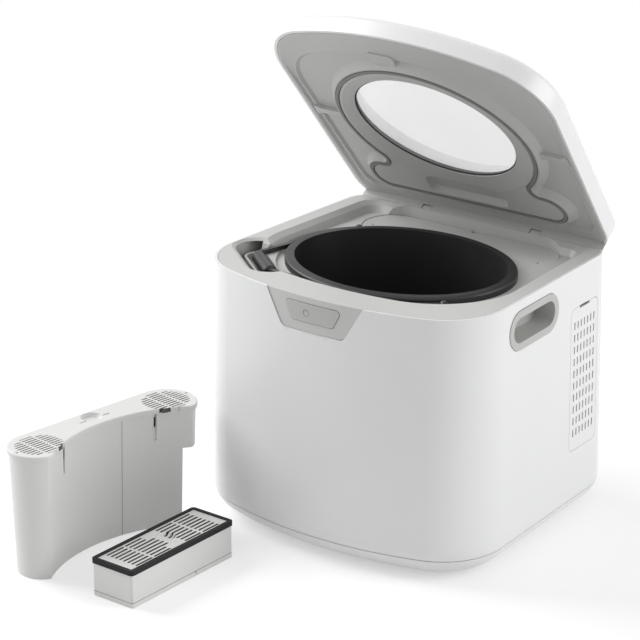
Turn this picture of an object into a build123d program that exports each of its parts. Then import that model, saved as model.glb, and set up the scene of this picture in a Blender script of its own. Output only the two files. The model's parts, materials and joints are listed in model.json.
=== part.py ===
from build123d import *
from math import atan2, copysign, cos, degrees, pi, radians, sin, sqrt, tan
import os

# Electric food waste composter with its bucket, stirring drive and two air filters.
#
# Millimetres, +Z up. The origin is on the worktop under the middle of the body,
# the front faces -Y and the lid is hinged along the rear edge. The lid is drawn
# shut and then turned to its resting angle. The two filter units stand beside
# the machine, as they do when they have been taken out.

# ---- body -------------------------------------------------------------------
body_width = 335.0        # over the widest place of the sides
body_depth = 308.0
body_top = 278.0          # flat edge of the deck
rear_width = 313.0        # across the rear, before the corners are rounded
corner_spread = 3.0       # the front corners lie this far outside the half width
front_bow = 400.0         # radius of the bowed front
front_corner = 68.0
rear_corner = 34.0
draft = 0.8               # degrees, the sides widen downwards
wall = 3.0
base_rounding = 30.0      # belly radius under the body
foot_height = 4.0
foot_radius = 10.0
foot_x, foot_y = 112.0, 92.0
screw_radius = 1.5
screw_head = 3.8
screw_head_height = 2.4
base_screw_x, base_screw_y = 88.0, 100.0
base_boss_height = 18.0
seam_height = 24.0        # the shell meets the base pan here
seam_gap = 0.4
fit_gap = 0.4             # between a cover and the opening that holds it

# ---- front apron and power button -------------------------------------------
apron_top_half = 58.0
apron_low_half = 37.0
apron_drop = 36.0
apron_corner = 9.0
apron_sink = 1.0          # apron face behind the shell face
apron_bevel = 2.0
button_top_half = 35.0
button_low_half = 25.0
button_top = body_top - 6.5
button_low = body_top - 26.0
button_corner = 4.0
button_sink = 0.5
button_travel = 2.0
button_lip = 1.4          # retaining edge behind the apron
stem_radius = 2.2
stem_spare = 0.3          # stem stops this short of the switch when pressed
board_half = 42.0
board_boss_x = 34.0
board_boss_z = body_top - 31.5
board_boss_radius = 3.0
board_top = body_top - 12.0
board_low = 222.0
board_thickness = 1.6
board_depth = 15.0        # board behind the front of the body
switch_size = 6.0
switch_depth = 4.0

# ---- hand-holds and side vent -----------------------------------------------
hold_y, hold_z = -8.0, 247.0
hold_length, hold_height = 97.0, 42.0
hold_bezel = 8.0
hold_skin = 2.0
hold_back = 139.0         # how far from the middle the cup ends
bezel_proud = 0.8
vent_y, vent_z = 95.0, 157.5
vent_corner = 8.0
vent_thickness = 2.5
vent_rows, vent_columns = 10, 7
vent_slot_width, vent_slot_height = 2.2, 8.0
vent_pitch_y, vent_pitch_z = 6.6, 13.0
notch_width, notch_height = 15.0, 15.0   # finger notch over the cover
notch_depth = 2.2
notch_rise = 7.0          # from the cover's edge to the foot of the notch
pull_width, pull_height = 20.0, 2.6      # slot at the top of the cover for a fingernail

# ---- rear wall --------------------------------------------------------------
inlet_x, inlet_z = -95.0, 60.0
inlet_width, inlet_height, inlet_depth = 32.0, 24.0, 22.0
inlet_skin = 2.5
inlet_bezel = 3.0         # flange round the opening
inlet_corner = 4.0
inlet_pin = 7.0           # between two pins
rear_slots = 14
rear_slot_pitch = 7.0
rear_slot_width, rear_slot_height = 3.0, 30.0
rear_slot_z = 95.0

# ---- deck -------------------------------------------------------------------
dish_depth = 11.0
dish_side = 18.0          # flat rim beside the dish
dish_front = 40.0         # flat rim in front of the dish
dish_rear = 16.0
dish_corner = 95.0
dish_rear_corner = 22.0
dish_step = 4.0           # the gentle upper part of the dish wall
dish_step_slope = 58.0    # degrees from upright
dish_slope = 30.0
deck_floor = 4.5          # thickness under the dish
deck_skin = 2.6

# ---- bucket and its heated well ---------------------------------------------
bucket_y = -3.0
rim_a, rim_b = 126.0, 102.0       # half axes of the rim
rim_height = 7.7
rim_step = 0.3                    # the rim stands this far over the dish floor
rim_rounding = 3.0
rim_overlap = 7.5                 # rim beyond the bucket wall
bucket_wall = 2.5
bucket_depth = 129.0              # rim top to the underside of the floor
bucket_taper = 8.0                # half axes lost from top to floor
bucket_floor_round = 12.0
opening_gap = 1.2
well_gap = 2.5
well_wall = 1.5
well_flange = 6.0
well_clear = 6.0                  # air under the bucket floor

# ---- bail -------------------------------------------------------------------
bail_turn = -34.0                 # direction of the pivot line seen from above
bail_gap = 3.0                    # rim to bail
bail_width = 4.4
bail_lift = 0.4                   # bail over the dish floor
pivot_radius = 1.8
eye_radius = 4.2
stud_root = 3.0                   # stud inside the rim
stud_spare = 0.5                  # and past the bail's eye
moat_gap = 1.6                    # bail to the wall of the channel it lies in
moat_depth = 2.6                  # channel floor under the dish floor
grip_radius = 7.0
grip_core = 3.4
grip_drop = 2.6
elbow_left = (-139.5, -60.5)
elbow_right = (-95.5, -95.5)
bail_leave = 190.0                # ellipse angle where the bail leaves the rim
bail_return = 240.0               # and where it is back beside the rim
pocket_gap = 3.5
pocket_skin = 2.5
basin_spread = 5.0                # dish floor round the pocket

# ---- stirring drive ---------------------------------------------------------
gear_module = 1.5
gear_teeth = 48
pinion_teeth = 12
gear_thickness = 8.0
gear_backlash = 0.35
gear_lift = 3.0                   # gear over the chassis plate
gear_window = 6.0
shaft_radius = 5.0
motor_shaft_radius = 3.0
motor_radius = 20.0
motor_height = 44.0
running_gap = 0.05
plate_height = 60.0
plate_thickness = 3.0
plate_length, plate_width = 150.0, 112.0
post_radius = 5.0
post_inset = 9.0
bearing_radius = 11.0
bearing_height = 7.0
dog_width = 8.0
dog_height = 12.0
dog_gap = 0.4
hub_stub_radius = 8.0
hub_radius = 15.0
hub_height = 24.0
bush_wall = 2.0
boss_wall = 3.0                   # of the bucket floor round the bush
boss_rise = 4.0                   # and its height over the floor
blade_reach = 74.0
blade_height = 9.0
blade_clear = 2.0
blade_finger = 30.0
heater_thickness = 5.0
heater_inset = 20.0               # plate inside the line of the bucket wall
element_inset = 34.0
heater_rod = 3.0

# ---- rear hinge and lid -----------------------------------------------------
hinge_radius = 7.0
hinge_gap = 0.6
hinge_sink = 4.0                  # hinge line under the deck edge
lid_open = 52.0                   # resting angle, shut is 0
lid_gap = 1.0
lid_height = 24.0
lid_wall = 3.0
lid_crown = 7.0                   # rounding of the lid's top edge
field_rise = 5.0                  # inner field over the lid's lower edge
field_side = 10.0
field_front = 35.0
field_rear = 20.0
field_slope = 50.0
edge_band = 3.0                   # flat band of the liner inside the lid's skirt
cove_rise = 2.4                   # hollow between that band and the inner field
plateau_gap = 1.2                 # raised middle of the underside over the bucket rim
plateau_a, plateau_b = 120.0, 101.0
plateau_foot = 7.0                # spread of its sloping side
lobe_reach = 124.0                # half length of the lobed rear part
lobe_width = 46.0
lobe_y = 95.0
lobe_blend = 7.0
window_a, window_b = 95.0, 75.0
window_y = -9.0
window_sill = 4.2                 # sill over the raised middle
sill_lip = 1.4                    # upright edge of the sill
ring_inset = 9.0                  # flat band between its edge and the sloping ring
pane_lap = 4.5
pane_thickness = 4.0
gasket_thickness = 1.0
pane_seat = 2.0                   # wall of the seat round the pane
well_spread = 11.0                # the lid opens out above the pane
liner_skin = 2.6
liner_gap = 0.4
seal_width = 3.4
seal_inset = 2.6                  # from the edge of the raised middle
seal_height = 2.0
seal_proud = 0.7
seal_groove = 0.8                 # open groove on each side of the seal
duct_half, duct_low, duct_high = 49.0, 80.0, 108.0   # exhaust recess behind the window
duct_depth = 6.0
duct_round = 9.0
duct_slope = 40.0
latch_x, latch_y = -22.0, -114.0  # latch boss at the front
latch_width, latch_length = 32.0, 15.0
latch_bump = 4.0
rib_start, rib_end = 108.0, 156.0 # side ribs from the raised middle to the edge
rib_y, rib_width = 2.0, 8.0
tab_clear = 0.3                   # bosses and ribs over the lid's lower edge
knuckle_x = 68.0
knuckle_width = 12.0
pin_radius = 2.0
pin_length = 36.0
web_lap = 2.0                     # the web of the hinge edge runs this far into the lid

# ---- crescent filter tank ---------------------------------------------------
tank_half = 115.5
tank_rear = 136.5
tank_front = 71.5
tank_clear = 5.0                  # bucket rim to tank
tank_height = 134.0
tank_wall = 2.0
tank_taper = 4.0                  # the body is this much slimmer all round at its foot
tank_plate = 5.0
tank_skirt = 5.0
tank_step_height = 87.0           # the narrower lower part of one end
tank_step_length = 30.0
tank_slot_x = 60.0
tank_slot_height = 30.0
tank_slot_width = 3.2
grille_radius = 25.0
grille_rows = 11
grille_slot, grille_bar = 2.0, 2.4       # slot width and the bar between two slots
grille_length = 17.0
tank_play = 0.8
tank_lap = 2.0            # thickness of the lid's skirt inside the body
tank_lap_gap = 0.3
tank_screw, tank_screw_inset = 1.8, 4.5
tank_cup = 12.0           # radius of the round finger hollow in the lid
carbon_gap = 0.6
well_ledge = 2.0                  # the tank's top plate hangs on this ledge
cover_margin = 2.0
cover_thickness = 2.5
cover_sink = 0.5
horn_round = 8.0
least_round = 0.8         # where an inset outline leaves no room for more
tank_place = (-187.0, -252.0)
tank_turn = 81.0

# ---- side filter box and its dock -------------------------------------------
box_width, box_length, box_height = 54.0, 154.0, 40.0
box_skin = 2.0
box_base = 5.0
gasket_band = 4.5
gasket_height = 5.0
box_inset = 1.0           # walls inside the edge of the gasket
box_corner = 3.0
box_rows, box_blocks = 8, 4
box_slot, box_bar = 2.6, 2.8
box_block = 24.0          # length of a block of slots
box_rib = 3.0             # between two blocks
box_middle = 8.0          # wider rib in the middle
box_cup = 11.0            # radius of the finger hollow
grille_sink = 0.8         # grille under the top of the gasket
dock_gap = 0.8
dock_wall = 1.5
dock_back = 118.0
box_place = (-93.0, -275.0)
box_turn = 88.5
fan_size, fan_depth = 50.0, 15.0
fan_y = 92.0
fan_rim = 3.0             # frame outside the round port
fan_hub = 9.5
fan_tilt = 38.0           # degrees, blades
fan_blades = 7

# ---- derived places ---------------------------------------------------------
front_y, rear_y = -body_depth / 2, body_depth / 2
dish_floor = body_top - dish_depth
deck_under = dish_floor - deck_floor
rim_low = dish_floor + rim_step
rim_top = rim_low + rim_height
wall_a, wall_b = rim_a - rim_overlap, rim_b - rim_overlap
bucket_low = rim_top - bucket_depth
well_low = bucket_low - well_clear - well_wall
bush_radius = hub_stub_radius + running_gap + bush_wall
boss_top = bucket_low + bucket_wall + boss_rise
pivot_z = dish_floor + bail_lift + bail_width / 2
moat_floor = dish_floor - moat_depth
grip_z = pivot_z - grip_drop
hinge_y = rear_y - hinge_radius
hinge_z = body_top - hinge_sink
lid_low = body_top + lid_gap
lid_top = lid_low + lid_height
field_z = lid_low + field_rise
plateau_z = rim_top + plateau_gap
sill_z = plateau_z + window_sill
pane_low = sill_z + gasket_thickness
pane_top = pane_low + pane_thickness
tab_z = lid_low + tab_clear
tank_middle = (tank_rear + tank_front) / 2
lobe_x = tank_half - (tank_rear - tank_front) / 2
pitch_radius = gear_module * gear_teeth / 2
pinion_pitch = gear_module * pinion_teeth / 2
motor_x = pitch_radius + pinion_pitch
plate_top = plate_height + plate_thickness
gear_low = plate_top + gear_lift
cover_low = dish_floor - cover_sink - cover_thickness
board_y = front_y + board_depth
switch_z = (button_top + button_low) / 2
plate_middle = motor_x / 2
fan_port = fan_size / 2 - fan_rim
fan_z = vent_z - box_length / 2 - dock_gap + fan_port + fit_gap
reach = 2 * body_width            # longer than anything that is cut with it


# ---- drawing aids -----------------------------------------------------------
def ellipse(a, b, z=0.0, y=bucket_y):
    """Oval face at a height, centred on the bucket unless told otherwise."""
    return Pos(0, y, z) * Ellipse(a, b)


def cone(low, high):
    """Solid between two faces with straight sides."""
    return loft([low, high], ruled=True)


def plan(half, front, rear, rear_half, corner, rear_round):
    """Body-like plan: bowed front, tapering sides, straight rear, rounded corners."""
    side = half + corner_spread
    front_side = front + front_bow - sqrt(front_bow ** 2 - side ** 2)
    bow = ThreePointArc((-side, front_side), (0, front), (side, front_side))
    back = Polyline((side, front_side), (rear_half, rear), (-rear_half, rear), (-side, front_side))
    face = make_face(bow + back)
    face = fillet(face.vertices().sort_by(Axis.Y)[-2:], rear_round)
    return fillet(face.vertices().filter_by(lambda v: abs(abs(v.X) - side) < 0.01), corner)


def outline(inset=0.0):
    """Plan of the body, moved inwards by an inset."""
    face = plan(body_width / 2, front_y, rear_y, rear_width / 2, front_corner, rear_corner)
    return face if inset == 0 else offset(face, amount=-inset)


def tub(inset, low, high):
    """Solid of the body's plan between two heights, with the draft of its sides."""
    grow = (body_top - low) * tan(radians(draft))
    return extrude(Pos(0, 0, low) * outline(inset - grow), amount=high - low, taper=draft)


def belly(inset, low, high, rounding):
    """The drafted body with its bottom edge rounded."""
    solid = tub(inset, low, high)
    return fillet(solid.edges().group_by(Axis.Z)[0], rounding)


def along_x(face_yz, start, end):
    """Prism of a face drawn as y across and z up, run along X."""
    base = Plane((min(start, end), 0, 0), x_dir=(0, 1, 0), z_dir=(1, 0, 0))
    return extrude(base * face_yz, amount=abs(end - start))


def along_y(face_xz, start, end):
    """Prism of a face drawn as x across and z up, run along Y."""
    base = Plane((0, max(start, end), 0), x_dir=(1, 0, 0), z_dir=(0, -1, 0))
    return extrude(base * face_xz, amount=abs(end - start))


def along_z(face_xy, low, high):
    """Prism of a plan between two heights."""
    return extrude(Pos(0, 0, low) * face_xy, amount=high - low)


def rod(radius, low, high, x=0.0, y=0.0):
    """Upright cylinder between two heights."""
    return Pos(x, y, (low + high) / 2) * Cylinder(radius, high - low)


def block(x, y, z):
    """Box from three (low, high) pairs."""
    middle = [(low + high) / 2 for low, high in (x, y, z)]
    return Pos(*middle) * Box(*[high - low for low, high in (x, y, z)])


def above(height):
    return block((-reach, reach), (-reach, reach), (height, height + reach))


def below(height):
    return block((-reach, reach), (-reach, reach), (height - reach, height))


def bar(start, end, width):
    """Flat bar with round ends over two places."""
    run = sqrt((end[0] - start[0]) ** 2 + (end[1] - start[1]) ** 2)
    turn = degrees(atan2(end[1] - start[1], end[0] - start[0]))
    middle = Pos((start[0] + end[0]) / 2, (start[1] + end[1]) / 2)
    return middle * Rot(0, 0, turn) * SlotOverall(run + width, width)


def four(x, y):
    """The four places around the middle at these distances."""
    return [(i * x, j * y) for i in (-1, 1) for j in (-1, 1)]


# ---- outlines that several pieces share -------------------------------------
def apron_face(grow=0.0):
    """Control apron that hangs from the deck in the middle of the front."""
    low = body_top - apron_drop
    face = make_face(Polyline((-apron_top_half, body_top), (-apron_low_half, low),
                              (apron_low_half, low), (apron_top_half, body_top), close=True))
    face = fillet(face.vertices().group_by(Axis.Y)[0], apron_corner)
    return face if grow == 0 else offset(face, amount=grow)


def button_face(grow=0.0):
    """Wide power button with slanted ends."""
    face = make_face(Polyline((-button_top_half, button_top), (-button_low_half, button_low),
                              (button_low_half, button_low), (button_top_half, button_top),
                              close=True))
    face = fillet(face.vertices(), button_corner)
    return face if grow == 0 else offset(face, amount=grow)


def hold_face(inset=0.0):
    """Hand-hold in the side of the body."""
    return Pos(hold_y, hold_z) * SlotOverall(hold_length - 2 * inset, hold_height - 2 * inset)


def vent_face(inset=0.0):
    """Cover of the filter dock in the right side."""
    width = box_width + 2 * dock_gap - 2 * inset
    height = box_length + 2 * dock_gap + 2 * fit_gap - 2 * inset
    return Pos(vent_y, vent_z) * RectangleRounded(width, height, vent_corner - inset)


def dish(inset=0.0):
    """Sunken middle of the deck."""
    face = plan(body_width / 2 - dish_side, front_y + dish_front, rear_y - dish_rear,
                rear_width / 2 - dish_side, dish_corner, dish_rear_corner)
    return face if inset == 0 else offset(face, amount=-inset)


def crescent(inset=0.0):
    """Crescent behind the bucket, with a round lobe at each end."""
    a, b = rim_a + tank_clear + inset, rim_b + tank_clear + inset
    width = tank_rear - tank_front - 2 * inset
    face = Pos(0, tank_middle) * SlotOverall(2 * (tank_half - inset), width) - ellipse(a, b)
    horns = face.vertices().filter_by(
        lambda v: abs((v.X / a) ** 2 + ((v.Y - bucket_y) / b) ** 2 - 1) < 0.001)
    return fillet(horns, max(horn_round - inset, least_round))


def hinge_rod(radius, length, x=0.0):
    """Cylinder on the hinge line."""
    return Pos(x, hinge_y, hinge_z) * Rot(0, 90, 0) * Cylinder(radius, length)


def hinge_trough(gap):
    """Room for the round hinge edge of the lid and for all that turns about it."""
    radius = hinge_radius + gap
    over = block((-reach, reach), (hinge_y - radius, reach), (hinge_z, reach))
    behind = block((-reach, reach), (hinge_y, reach), (hinge_z - radius, reach))
    return hinge_rod(radius, 2 * reach) + over + behind


def rim_reach():
    """Distance from the bucket's middle to its rim along the pivot line."""
    turn = radians(bail_turn)
    return 1 / sqrt((cos(turn) / rim_a) ** 2 + (sin(turn) / rim_b) ** 2)


def on_pivot_line(distance, height=pivot_z):
    """Frame on the bail's pivot line with its Z along the line."""
    return (Pos(0, bucket_y, height) * Rot(0, 0, bail_turn) * Pos(distance, 0, 0)
            * Rot(0, 90, 0))


def bail_point(turn):
    """Place on the middle line of the bail beside the rim, by ellipse angle."""
    a = rim_a + bail_gap + bail_width / 2
    b = rim_b + bail_gap + bail_width / 2
    return (a * cos(radians(turn)), bucket_y + b * sin(radians(turn)))


# ---- housing ----------------------------------------------------------------
def full_shell():
    outer = belly(0, foot_height, body_top, base_rounding)
    inner = belly(wall, foot_height + wall, body_top + wall, base_rounding - wall)
    return outer - inner


def post_places():
    return [(plate_middle + x, bucket_y + y)
            for x, y in four(plate_length / 2 - post_inset, plate_width / 2 - post_inset)]


def make_outer_shell(shell):
    shell = shell & above(seam_height + seam_gap)
    shell -= along_y(apron_face(fit_gap), front_y - wall, front_y + dish_front)
    shell -= along_y(apron_face(fit_gap + apron_bevel), front_y - wall, front_y + apron_sink)
    for side in (-1, 1):
        shell -= along_x(hold_face(), side * dock_back, side * body_width)
    shell -= along_x(vent_face(), dock_back, body_width)
    shell -= finger_notch()
    inlet = Pos(inlet_x, inlet_z) * Rectangle(inlet_width, inlet_height)
    shell -= along_y(inlet, hinge_y, rear_y + 2 * wall)
    for column in range(rear_slots):
        x = (column - (rear_slots - 1) / 2) * rear_slot_pitch
        slot = Pos(x, rear_slot_z) * Rot(0, 0, 90) * SlotOverall(rear_slot_height, rear_slot_width)
        shell -= along_y(slot, hinge_y, rear_y + 2 * wall)
    return shell - hinge_trough(hinge_gap)


def vent_top():
    return vent_z + box_length / 2 + dock_gap + fit_gap


def finger_notch():
    """Three-cornered notch over the side cover, deepest at its foot."""
    foot, half = vent_top() + notch_rise, notch_width / 2
    face = make_face(Polyline((vent_y - half, foot), (vent_y + half, foot),
                              (vent_y + half / 2, foot + notch_height), close=True))
    outside = body_width / 2 + (body_top - foot) * tan(radians(draft))
    fall = degrees(atan2(notch_depth, notch_height))
    slant = Pos(outside - notch_depth, 0, foot) * Rot(0, fall, 0) * Pos(reach / 2, 0, 0)
    return along_x(face, dock_back, body_width) & (slant * Box(reach, reach, reach))


def make_base_pan(shell):
    pan = shell & below(seam_height)
    floor = foot_height + wall
    for x, y in post_places():
        pan += rod(post_radius, floor - 1, plate_height, x, y)
        pan -= rod(screw_radius, plate_height - 10, plate_height + 1, x, y)
    for x, y in four(base_screw_x, base_screw_y):
        pan += rod(post_radius, floor - 1, base_boss_height, x, y)
        pan -= rod(screw_head + fit_gap, 0, foot_height + screw_head_height, x, y)
        pan -= rod(screw_radius, 0, base_boss_height - 1, x, y)
    return pan


def make_rubber_feet():
    feet = [rod(foot_radius, 0, foot_height, x, y) for x, y in four(foot_x, foot_y)]
    return Compound([chamfer(foot.edges().group_by(Axis.Z)[0], 0.8) for foot in feet])


def make_base_screws():
    head = foot_height + screw_head_height
    return Compound([rod(screw_head, foot_height, head, x, y)
                     + rod(screw_radius, head, base_boss_height - 2, x, y)
                     for x, y in four(base_screw_x, base_screw_y)])


def dish_cut():
    """The dish: a gentle first step, then a steeper wall to the flat floor."""
    step = dish_step * tan(radians(dish_step_slope))
    fall = (dish_depth - dish_step) * tan(radians(dish_slope))
    shoulder = body_top - dish_step
    basin = grip_radius + pocket_gap + basin_spread
    cut = []
    for middle, wide in ((dish(step + fall), dish(step)), (grip_bar(basin), grip_bar(basin + fall))):
        cut.append(extrude(Pos(0, 0, dish_floor) * middle, amount=dish_depth - dish_step,
                           taper=-dish_slope))
        cut.append(extrude(Pos(0, 0, shoulder) * wide, amount=dish_step + 1, taper=-dish_step_slope))
    return cut


def grip_bar(half):
    """Plan of the folded grip and what lies round it."""
    return bar(elbow_left, elbow_right, 2 * half)


def bail_side(margin=0.0):
    """The half of the plan where the folded bail lies."""
    return (Pos(0, bucket_y) * Rot(0, 0, bail_turn)
            * Pos(0, margin - reach / 2) * Rectangle(2 * reach, reach))


def moat():
    """Channel in the deck for the folded bail and its two arms."""
    a = rim_a + bail_gap + bail_width + moat_gap
    b = rim_b + bail_gap + bail_width + moat_gap
    ring = ellipse(a, b) - ellipse(rim_a, rim_b)
    channel = along_z(ring & bail_side(eye_radius + moat_gap), moat_floor, body_top + 1)
    width = bail_width + 2 * moat_gap
    for start, end in ((bail_point(bail_leave), elbow_left), (elbow_right, bail_point(bail_return))):
        channel += along_z(bar(start, end, width), moat_floor, body_top + 1)
    return channel


def front_band(face_xz, near, far):
    """Part of a front-facing prism between two insets of the bowed front."""
    low = body_top - 2 * apron_drop
    band = tub(near, low, body_top) - tub(far, low, body_top)
    return along_y(face_xz, front_y - wall, front_y + dish_front) & band


def make_top_deck():
    deck = along_z(outline(wall + fit_gap), deck_under, body_top)
    hollow = outline(wall + fit_gap + deck_skin) - dish(-deck_skin)
    deck -= along_z(hollow, deck_under - 1, body_top - deck_skin)
    floor = grip_z - grip_radius - pocket_gap / 2
    deck += along_z(grip_bar(grip_radius + pocket_gap + pocket_skin), floor - pocket_skin, dish_floor)
    deck -= dish_cut()
    deck -= along_z(grip_bar(grip_radius + pocket_gap), floor, body_top)
    deck -= moat()
    deck -= along_z(ellipse(rim_a + opening_gap, rim_b + opening_gap), dish_floor, body_top + 1)
    deck -= along_z(ellipse(wall_a + opening_gap, wall_b + opening_gap), 0, body_top)
    deck -= along_z(crescent(-cover_margin - fit_gap), cover_low, body_top)
    deck -= along_z(crescent(-tank_play), 0, body_top)
    deck += front_band(apron_face(), apron_sink, apron_sink + wall)
    for x in (-board_boss_x, board_boss_x):
        deck += along_y(Pos(x, board_boss_z) * Circle(board_boss_radius), board_y, front_y + wall)
    deck -= front_band(button_face(button_lip + fit_gap), apron_sink + wall, dish_front)
    deck -= along_y(button_face(fit_gap), front_y - wall, front_y + 2 * wall)
    deck -= hinge_trough(hinge_gap)
    for x in (-knuckle_x, knuckle_x):
        stalk = block((x - knuckle_width / 2, x + knuckle_width / 2),
                      (hinge_y - hinge_radius + hinge_gap, hinge_y + pin_radius), (deck_under, hinge_z))
        deck += hinge_rod(hinge_radius - hinge_gap, knuckle_width, x) + stalk
        deck -= hinge_rod(pin_radius, pin_length, x)
    return deck


def make_hinge_pins():
    return Compound([hinge_rod(pin_radius, pin_length, x) for x in (-knuckle_x, knuckle_x)])


def make_hand_hold(side):
    """Bezel and cup of one side."""
    plug = along_x(hold_face(fit_gap), side * hold_back, side * body_width)
    plug &= tub(-bezel_proud, 0, body_top)
    sleeve = along_x(hold_face(-hold_bezel) - hold_face(hold_bezel - hold_skin),
                     side * (hold_back - 1), side * body_width)
    cavity = along_x(hold_face(hold_bezel), side * (hold_back + hold_skin), side * body_width)
    return plug - (sleeve & tub(wall, 0, body_top)) - cavity


def make_vent_cover():
    skin = tub(0, seam_height, body_top) - tub(vent_thickness, seam_height, body_top)
    cover = along_x(vent_face(fit_gap), dock_back, body_width) & skin
    slots = Compound([
        block((dock_back, body_width), (y - vent_slot_width / 2, y + vent_slot_width / 2),
              (z - vent_slot_height / 2, z + vent_slot_height / 2))
        for row in range(vent_rows) for column in range(vent_columns)
        for y, z in [(vent_y + (column - (vent_columns - 1) / 2) * vent_pitch_y,
                      vent_z + (row - (vent_rows - 1) / 2) * vent_pitch_z)]])
    edge = vent_top() - fit_gap
    cover -= block((dock_back, body_width), (vent_y - pull_width / 2, vent_y + pull_width / 2),
                   (edge - pull_height, edge + 1))
    return cover - slots


def make_power_inlet():
    face, inner, bezel = [
        Pos(inlet_x, inlet_z) * RectangleRounded(inlet_width + 2 * grow, inlet_height + 2 * grow,
                                                 inlet_corner + grow / 3)
        for grow in (-fit_gap, -fit_gap - inlet_skin, inlet_bezel)]
    outside = rear_y + (body_top - inlet_z) * tan(radians(draft))
    socket = along_y(face, outside - inlet_depth, outside + 1)
    socket += along_y(bezel, outside + fit_gap, outside + 2)
    socket -= along_y(inner, outside - inlet_depth + inlet_skin, outside + 3)
    for x in (-inlet_pin, 0.0, inlet_pin):
        pin = Pos(inlet_x + x, inlet_z + (3 if x == 0 else -1)) * Rectangle(2, 4)
        socket += along_y(pin, outside - inlet_depth + inlet_skin - 1, outside - 5)
    return socket


def make_control_board():
    board = block((-board_half, board_half), (board_y, board_y + board_thickness),
                  (board_low, board_top))
    chips = [(-20, 232, 14, 10, 3), (8, 230, 10, 10, 2), (28, 234, 12, 16, 8)]
    for x, z, width, height, depth in chips:
        board += block((x - width / 2, x + width / 2), (board_y, board_y + board_thickness + depth),
                       (z - height / 2, z + height / 2))
    return board


def make_power_switch():
    half = switch_size / 2
    return block((-half, half), (board_y - switch_depth, board_y), (switch_z - half, switch_z + half))


def make_power_button():
    button = front_band(button_face(), button_sink, apron_sink + wall)
    behind = apron_sink + wall
    button += front_band(button_face(-button_lip), behind - fit_gap, behind + 2 * fit_gap)
    button += front_band(button_face(button_lip), behind + fit_gap, behind + 4 * fit_gap)
    stem_end = board_y - switch_depth - button_travel - stem_spare
    return button + along_y(Pos(0, switch_z) * Circle(stem_radius), front_y + wall, stem_end)


# ---- bucket well, heater and drive ------------------------------------------
def make_bucket_well():
    a, b = wall_a + well_gap, wall_b + well_gap
    well = along_z(ellipse(a + well_wall, b + well_wall), well_low, deck_under)
    well += along_z(ellipse(a + well_flange, b + well_flange), deck_under - well_wall, deck_under)
    well -= along_z(ellipse(a, b), well_low + well_wall, deck_under + 1)
    return well - rod(bearing_radius, 0, well_low + 5, 0, bucket_y)


def make_heater_plate():
    face = ellipse(wall_a - heater_inset, wall_b - heater_inset)
    plate = along_z(face, well_low - heater_thickness, well_low)
    return plate - rod(bearing_radius + 2, 0, well_low + 1, 0, bucket_y)


def make_heater_element():
    """Tubular element pressed under the plate, an almost closed oval."""
    a, b = wall_a - element_inset, wall_b - element_inset
    low = well_low - heater_thickness - 2 * heater_rod
    ring = along_z(ellipse(a + heater_rod, b + heater_rod) - ellipse(a - heater_rod, b - heater_rod),
                   low, low + 2 * heater_rod)
    ring = chamfer(ring.edges().group_by(Axis.Z)[0], heater_rod * 0.5)
    return ring - block((-12, 12), (-reach, bucket_y), (0, reach))


def make_chassis_plate():
    plate = along_z(Pos(plate_middle, bucket_y) * RectangleRounded(plate_length, plate_width, 8),
                    plate_height, plate_top)
    plate -= rod(bearing_radius, 0, reach, 0, bucket_y)
    plate -= rod(motor_shaft_radius + 3, 0, reach, motor_x, bucket_y)
    for x, y in post_places():
        plate -= rod(screw_radius, 0, reach, x, y)
    for x, y in four(plate_length / 2 - 28, plate_width / 2 - 14):
        plate -= along_z(Pos(plate_middle + x, bucket_y + y) * SlotOverall(22, 8), 0, reach)
    return plate


def make_plate_screws():
    return Compound([rod(screw_head, plate_top, plate_top + screw_head_height, x, y)
                     + rod(screw_radius, plate_height - 9, plate_top, x, y)
                     for x, y in post_places()])


def make_gear_motor():
    low = plate_height - motor_height
    motor = rod(motor_radius, low, plate_height - 4, motor_x, bucket_y)
    motor = fillet(motor.edges().group_by(Axis.Z)[0], 2)
    flange = Pos(motor_x, bucket_y) * Rectangle(2 * motor_radius, 2 * motor_radius)
    flange = fillet(flange.vertices(), 8)
    motor += along_z(flange, plate_height - 8, plate_height)
    return motor - rod(motor_shaft_radius + running_gap, plate_height - 25, reach, motor_x, bucket_y)


def make_bearing(low, high):
    ring = rod(bearing_radius, low, high, 0, bucket_y)
    ring -= rod(shaft_radius + running_gap, low - 1, high + 1, 0, bucket_y)
    return ring


def make_plate_bearing():
    return make_bearing(plate_top - bearing_height, plate_top)


def make_well_seal():
    return make_bearing(well_low - bearing_height, well_low + well_wall + 1)


def make_drive_shaft():
    return rod(shaft_radius, plate_height - 8, bucket_low - dog_height / 3, 0, bucket_y)


def make_drive_dog():
    low = bucket_low - dog_height / 3
    top = low + dog_height
    dog = along_z(Pos(0, bucket_y) * Rectangle(dog_width, dog_width), low, top)
    return chamfer(dog.edges().group_by(Axis.Z)[-1], 1)


def gear(teeth, bore, phase):
    """Spur gear with straight flanks, standing on the gear height."""
    pitch = gear_module * teeth / 2
    tip, root = pitch + 0.9 * gear_module, pitch - 1.2 * gear_module
    step = 2 * pi / teeth
    slack = gear_backlash / pitch / 2
    profile = ((root, -0.34), (tip, -0.13), (tip, 0.13), (root, 0.34))
    corners = [(radius * cos(turn), radius * sin(turn))
               for tooth in range(teeth) for radius, share in profile
               for turn in [(tooth + phase + share) * step - (slack if share > 0 else -slack)]]
    blank = extrude(make_face(Polyline(*corners, close=True)), amount=gear_thickness)
    return blank - Cylinder(bore, 3 * gear_thickness)


def make_output_gear():
    wheel = gear(gear_teeth, shaft_radius, 0.0)
    for turn in range(0, 360, 60):
        window = Cylinder(gear_window, 3 * gear_thickness)
        wheel -= Rot(0, 0, turn) * Pos(0.6 * pitch_radius, 0, 0) * window
    wheel += Pos(0, 0, gear_thickness) * Cylinder(2 * shaft_radius, gear_thickness)
    wheel -= Cylinder(shaft_radius, 4 * gear_thickness)
    return Pos(0, bucket_y, gear_low) * wheel


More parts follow.
